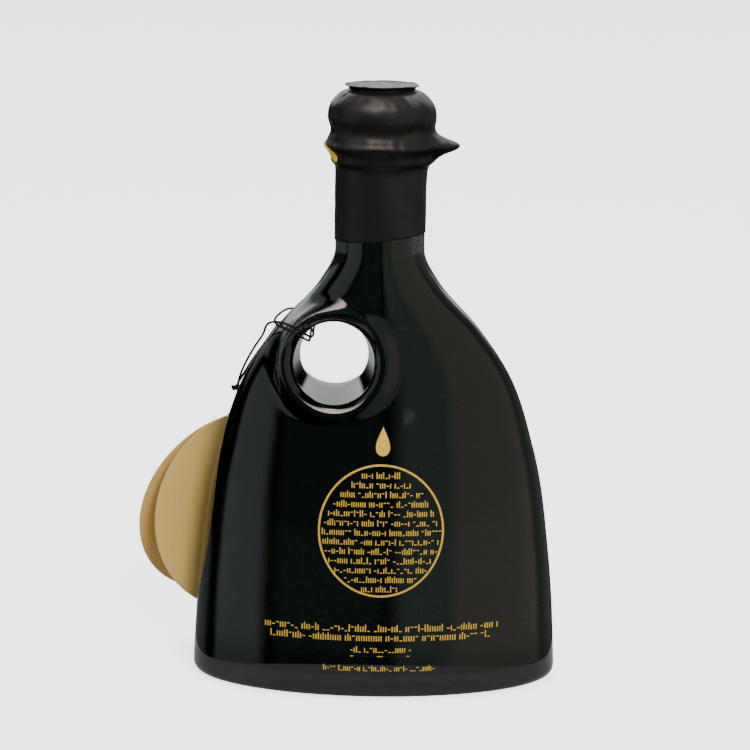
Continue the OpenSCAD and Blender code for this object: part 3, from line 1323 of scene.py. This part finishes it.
@dataclass(frozen=True)
class Row:
    """One row of short marks."""

    height: float
    width: float
    weight: Weight
    middle: float = 0.0019


@dataclass(frozen=True)
class Print:
    """Gold print on the front: a ring with rows of marks in it, a drop over it and rows below."""

    outline: Outline
    proud: float = 0.00004
    ring_middle: tuple[float, float] = (0.0019, 0.061)
    ring_radii: tuple[float, float] = (0.0221, 0.0232)
    ring_line: float = 0.0007
    ring_points: int = 160
    drop_middle: tuple[float, float] = (0.0022, 0.0925)
    drop_size: tuple[float, float] = (0.0058, 0.0102)
    drop_points: int = 72
    drop_rings: int = 8
    row_top: float = 0.0795
    row_pitch: float = 0.00335
    row_widths: tuple[float, ...] = (
        0.0142, 0.0214, 0.0292, 0.0342, 0.0378, 0.0406, 0.0422,
        0.0414, 0.04, 0.0372, 0.0328, 0.0258, 0.0136,
    )
    lower_rows: tuple[Row, ...] = (
        Row(0.0249, 0.0828, Weight.STRONG, 0.0022),
        Row(0.0215, 0.0787, Weight.STRONG, 0.0022),
        Row(0.0173, 0.0212, Weight.PLAIN, 0.0022),
        Row(0.0105, 0.0405, Weight.FINE, 0.0022),
    )
    underline: tuple[float, float, float] = (0.0022, 0.0158, 0.0212)
    underline_height: float = 0.0003
    upright_share: float = 0.68
    seed: int = 11

    def _on_glass(self, x: Array, z: Array) -> Array:
        """Lifts flat points onto the front of the glass.

        Args:
            x: The distance to the right of the middle.
            z: The height.

        Returns:
            The points.
        """
        return np.stack([x, self.outline.front(x, z) - self.proud, z], -1)

    def _ring(self) -> bpy.types.Object:
        """Draws the ring.

        Returns:
            The ring.
        """
        turn = np.radians(np.arange(self.ring_points) * 360 / self.ring_points)
        rows = []
        for side in (-0.5, 0.5):
            wide, high = (radius + side * self.ring_line for radius in self.ring_radii)
            x = self.ring_middle[0] + wide * np.cos(turn)
            z = self.ring_middle[1] + high * np.sin(turn)
            rows.append(self._on_glass(x, z))
        faces = grid_faces(len(rows), self.ring_points, wrap=True)[:, ::-1]
        return add_mesh("print_ring", np.vstack(rows), faces)

    def _drop(self) -> bpy.types.Object:
        """Draws the drop, round below and pointed above.

        Returns:
            The drop.
        """
        turn = np.radians(np.arange(self.drop_points) * 360 / self.drop_points)
        wide, high = self.drop_size
        rows = []
        for share in np.linspace(0.02, 1, self.drop_rings):
            x = share * wide / 2 * np.sin(turn) * np.sin(turn / 2) ** 1.5 * 1.25
            z = share * high / 2 * np.cos(turn)
            rows.append(self._on_glass(self.drop_middle[0] + x, self.drop_middle[1] + z))
        faces = grid_faces(self.drop_rings, self.drop_points, wrap=True)
        return add_mesh("print_drop", np.vstack(rows), faces)

    def _marks(self, row: Row, rng: np.random.Generator) -> list[Array]:
        """Splits a row into short marks with gaps, as narrow patches.

        Args:
            row: The row.
            rng: Where the random lengths come from.

        Returns:
            The corner points of each patch, two rows of three.
        """
        patches = []
        x = row.middle - row.width / 2
        end = row.middle + row.width / 2
        size = row.weight.value
        left = int(rng.integers(4, 16))
        while x < end - size / 4:
            if left == 0:
                left = int(rng.integers(4, 16))
                x += 0.5 * size
            left -= 1
            if rng.uniform() < self.upright_share:
                length, low, high = 0.22 * size, 0.0, rng.choice((1.0, 1.0, 1.0, 1.35)) * size
            else:
                low = rng.choice((0.0, 0.4, 0.8)) * size
                length, high = 0.5 * size, low + 0.2 * size
            across, up = np.meshgrid(np.linspace(x, x + length, 3), (low, high), indexing="xy")
            patches.append(self._on_glass(across, row.height + up).reshape(-1, 3))
            x += length + 0.24 * size
        return patches

    def _rows(self) -> bpy.types.Object:
        """Draws every row of marks, and the line under one of them.

        Returns:
            The rows, as one piece.
        """
        rng = np.random.default_rng(self.seed)
        inside = [
            Row(self.row_top - i * self.row_pitch, width, Weight.PLAIN)
            for i, width in enumerate(self.row_widths)
        ]
        patches = [patch for row in (*inside, *self.lower_rows) for patch in self._marks(row, rng)]
        middle, height, width = self.underline
        places = np.linspace(middle - width / 2, middle + width / 2, 3)
        across, up = np.meshgrid(places, (0.0, self.underline_height), indexing="xy")
        patches.append(self._on_glass(across, height + up).reshape(-1, 3))
        faces = [grid_faces(2, 3, wrap=False, first=6 * i) for i in range(len(patches))]
        return add_mesh("print_rows", np.vstack(patches), np.vstack(faces))

    def build(self) -> None:
        """Builds the print."""
        ink = GoldInk().material()
        for piece in (self._ring(), self._drop(), self._rows()):
            dress(piece, ink, "gold_print")


# ---------------------------------------------------------------------------------------------
# The studio
# ---------------------------------------------------------------------------------------------


@dataclass(frozen=True)
class Viewpoint:
    """Where the camera stands."""

    distance: float = 1.0
    height: float = 0.3218
    aside: float = -0.00105
    pitch: float = math.radians(11.884)
    roll: float = math.radians(0.87)
    lens: float = 135.4

    def build(self) -> None:
        """Makes the camera."""
        camera = bpy.data.objects.new("camera", bpy.data.cameras.new("camera"))
        camera.data.lens = self.lens
        camera.data.sensor_width = 36.0
        camera.data.clip_start = 0.05
        turn = Matrix.Rotation(math.pi / 2 - self.pitch, 4, "X") @ Matrix.Rotation(self.roll, 4, "Z")
        camera.matrix_world = Matrix.Translation((self.aside, -self.distance, self.height)) @ turn
        bpy.context.scene.collection.objects.link(camera)
        bpy.context.scene.camera = camera


@dataclass(frozen=True)
class StudioCard:
    """A glowing card bent round the bottle, seen only as a reflection.

    Its azimuth is 0 in front of the bottle and grows to the right.
    """

    name: str
    azimuth: tuple[float, float]
    elevation: tuple[float, float]
    colour: Colour
    strength: float
    fade: float
    distance: float
    columns: int = 25
    rows: int = 17

    def build(self) -> None:
        """Makes the card."""
        turn = np.radians(np.linspace(*self.azimuth, self.columns))
        rise = np.radians(np.linspace(*self.elevation, self.rows))
        turn, rise = np.meshgrid(turn, rise, indexing="xy")
        points = self.distance * np.stack([
            np.sin(turn) * np.cos(rise), -np.cos(turn) * np.cos(rise), np.sin(rise),
        ], -1)
        faces = grid_faces(self.rows, self.columns, wrap=False)[:, ::-1]
        card = add_mesh(self.name, points.reshape(-1, 3), faces)
        corners = card.data.uv_layers.new(name="UVMap")
        shares = np.linspace(0, 1, self.columns), np.linspace(0, 1, self.rows)
        flat = np.stack(np.meshgrid(*shares, indexing="xy"), -1).reshape(-1, 2)
        for loop in card.data.loops:
            corners.data[loop.index].uv = flat[loop.vertex_index]
        card.data.materials.append(Glow(self.name, self.colour, self.strength, self.fade).material())
        card.visible_camera = False
        card.visible_diffuse = False
        card.visible_shadow = False
        card.visible_transmission = False


@dataclass(frozen=True)
class Lamp:
    """A soft square lamp that points at the bottle."""

    name: str
    place: tuple[float, float, float]
    size: float
    power: float
    colour: Colour = (1.0, 1.0, 1.0)
    target: tuple[float, float, float] = (0.0, 0.0, 0.1)

    def build(self) -> None:
        """Makes the lamp."""
        light = bpy.data.lights.new(self.name, "AREA")
        light.size = self.size
        light.energy = self.power
        light.color = self.colour
        lamp = bpy.data.objects.new(self.name, light)
        lamp.location = self.place
        lamp.rotation_euler = (Vector(self.target) - lamp.location).to_track_quat("-Z", "Y").to_euler()
        lamp.visible_glossy = False
        lamp.visible_camera = False
        bpy.context.scene.collection.objects.link(lamp)


@dataclass(frozen=True)
class Studio:
    """A white room: pale floor, soft lamps, and cards for the glass to reflect."""

    floor_radius: float = 12.0
    floor_sides: int = 96
    floor: Floor = Floor("pale_floor")
    table_radius: float = 0.095
    table: Floor = Floor("pale_table", 0.5, 0.0)
    fill: float = 0.68
    lamps: tuple[Lamp, ...] = (
        Lamp("key_lamp", (0.6, -1.75, 1.1), 0.7, 44.0, (1.0, 0.985, 0.96)),
        Lamp("top_lamp", (-0.3, 0.1, 2.2), 1.6, 24.0),
    )
    cards: tuple[StudioCard, ...] = (
        StudioCard("card_front", (-46.0, 8.0), (-19.0, 60.0), (0.55, 1.0, 0.95), 0.13, 0.2, 2.7),
        StudioCard("card_right_front", (3.0, 34.0), (-19.0, 60.0), (0.76, 1.0, 0.94), 0.5, 0.3, 2.4),
        StudioCard("card_right", (17.0, 106.0), (-19.0, 50.0), (1.0, 0.95, 0.84), 0.7, 0.16, 2.5),
        StudioCard("card_right_back", (92.0, 152.0), (-22.0, 60.0), (0.95, 0.97, 1.0), 0.22, 0.15, 2.6),
        StudioCard("card_left", (-94.0, -42.0), (-19.0, 62.0), (0.84, 0.95, 1.0), 0.76, 0.2, 2.4),
        StudioCard("card_left_neck", (-176.0, -100.0), (-22.0, -6.0), (0.82, 0.96, 1.0), 0.25, 0.2, 2.5),
        StudioCard("card_left_back", (-176.0, -104.0), (10.0, 66.0), (0.82, 0.96, 1.0), 0.6, 0.2, 2.5),
        StudioCard("card_back_low", (155.0, 205.0), (-30.0, 14.0), (1.0, 1.0, 1.0), 0.65, 0.15, 2.4),
        StudioCard("card_back", (136.0, 224.0), (10.0, 56.0), (0.97, 1.0, 1.0), 2.0, 0.15, 2.3),
        StudioCard("card_lip", (112.0, 146.0), (44.0, 60.0), (1.0, 1.0, 1.0), 6.0, 0.2, 2.2),
        StudioCard("card_top_front", (-60.0, 40.0), (40.0, 86.0), (1.0, 0.86, 0.78), 15.0, 0.4, 2.1),
    )

    def _disc(self, name: str, radius: float, height: float, floor: Floor) -> bpy.types.Object:
        """Makes a flat disc of floor.

        Args:
            name: The object's name.
            radius: Its radius.
            height: Its height.
            floor: What it is made of.

        Returns:
            The disc.
        """
        turn = np.radians(np.arange(self.floor_sides) * 360 / self.floor_sides)
        points = np.stack([radius * np.cos(turn), radius * np.sin(turn), height + 0 * turn], -1)
        disc = add_mesh(name, points, [list(range(self.floor_sides))])
        disc.data.materials.append(floor.material())
        disc.visible_diffuse = False
        return disc

    def _world(self) -> None:
        """Makes an even white surrounding that the glass doesn't reflect."""
        world = bpy.data.worlds.new("white_room")
        world.use_nodes = True
        background = world.node_tree.nodes["Background"]
        background.inputs["Color"].default_value = (1.0, 1.0, 1.0, 1.0)
        background.inputs["Strength"].default_value = self.fill
        world.cycles_visibility.glossy = False
        bpy.context.scene.world = world

    def build(self) -> None:
        """Makes the room."""
        self._disc("floor", self.floor_radius, -0.0006, self.floor).visible_glossy = False
        table = self._disc("table", self.table_radius, -0.0003, self.table)
        table.visible_camera = False
        table.visible_shadow = False
        self._world()
        for part in (*self.lamps, *self.cards):
            part.build()


def main() -> None:
    """Builds the whole scene."""
    logging.basicConfig(level=logging.INFO, format="%(name)s: %(message)s")
    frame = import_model()
    Viewpoint().build()
    ElasticCord().build()
    outline = Outline()
    Bottle(outline, FingerHole()).build()
    seal = Seal()
    seal.build()
    TopDisc(seal).build()
    TearTab(seal).build()
    HangCard().build(frame["nodes"])
    Print(outline).build()
    Studio().build()


if __name__ == "__main__":
    main()
